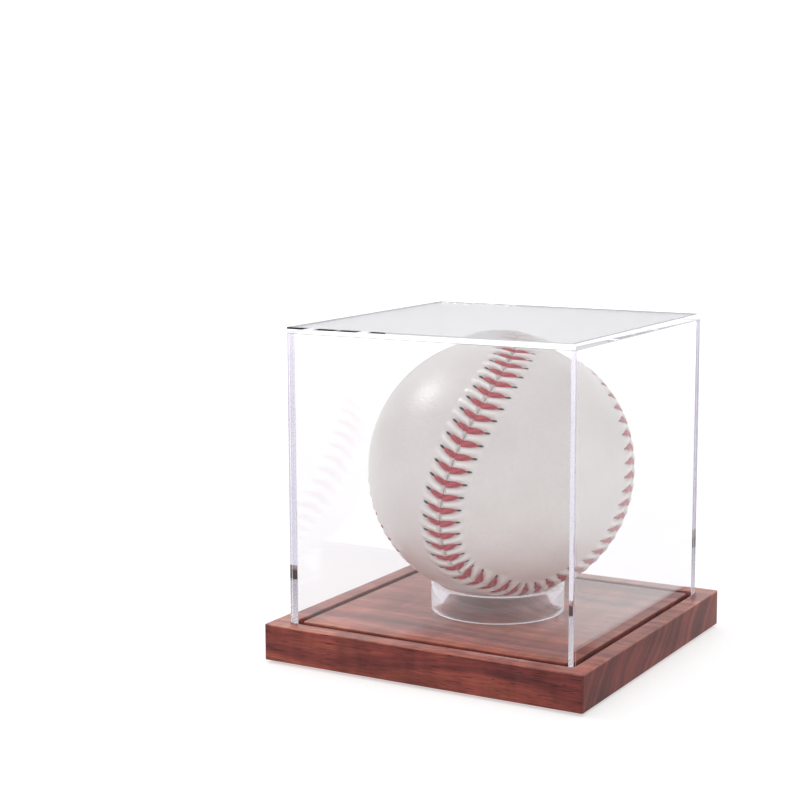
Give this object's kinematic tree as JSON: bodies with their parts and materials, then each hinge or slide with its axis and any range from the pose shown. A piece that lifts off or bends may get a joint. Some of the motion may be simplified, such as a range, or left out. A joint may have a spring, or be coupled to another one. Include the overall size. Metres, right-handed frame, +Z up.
{
  "type": "baseball display case",
  "caption": "Clear acrylic cube cover over a grooved square wooden base, with a clear ring that holds a stitched leather baseball on show.",
  "frame": {"origin": "on the surface the case stands on, under the middle of the base", "axes": "+Z up; -Y is the front, where the base shows its long grain; X runs along the base's grain"},
  "size_m": [0.097, 0.097, 0.094],
  "materials": {
    "base_wood": "satin lacquered red-brown hardwood, long grain along X",
    "pad_rubber": "matt self-adhesive foam rubber",
    "ring_acrylic": "clear polished acrylic tube",
    "cover_acrylic": "clear polished acrylic sheet",
    "ball_leather": "smooth pearly white leather, fine grain",
    "stitch_thread": "waxed red cotton thread",
    "cotton_yarn": "fine white finishing yarn",
    "grey_wool": "blue-grey wool yarn",
    "white_wool": "white wool yarn",
    "red_rubber": "matt moulded rubber",
    "black_rubber": "matt moulded rubber",
    "cork": "composition cork"
  },
  "bodies": {
    "base": {"base_board": "base_wood", "foot_pads": "pad_rubber", "ball_ring": "ring_acrylic"},
    "cover": {"front_panel": "cover_acrylic", "back_panel": "cover_acrylic", "left_panel": "cover_acrylic", "right_panel": "cover_acrylic", "top_panel": "cover_acrylic"},
    "ball": {"leather_panel_a": "ball_leather", "leather_panel_b": "ball_leather", "seam_stitches": "stitch_thread", "finishing_yarn": "cotton_yarn", "outer_grey_yarn": "grey_wool", "white_yarn": "white_wool", "inner_grey_yarn": "grey_wool", "red_rubber_shell": "red_rubber", "upper_black_shell": "black_rubber", "lower_black_shell": "black_rubber", "rubber_gasket": "red_rubber", "cork_core": "cork"}
  },
  "joints": [
    {"name": "cover_lift", "type": "slide", "parent": "base", "child": "cover", "axis": [0, 0, 1], "range_m": [0, 0.1]},
    {"name": "ball_turn", "type": "hinge", "parent": "base", "child": "ball", "pos_m": [0, 0, 0.0519], "axis": [0, 0, 1], "continuous": true}
  ]
}
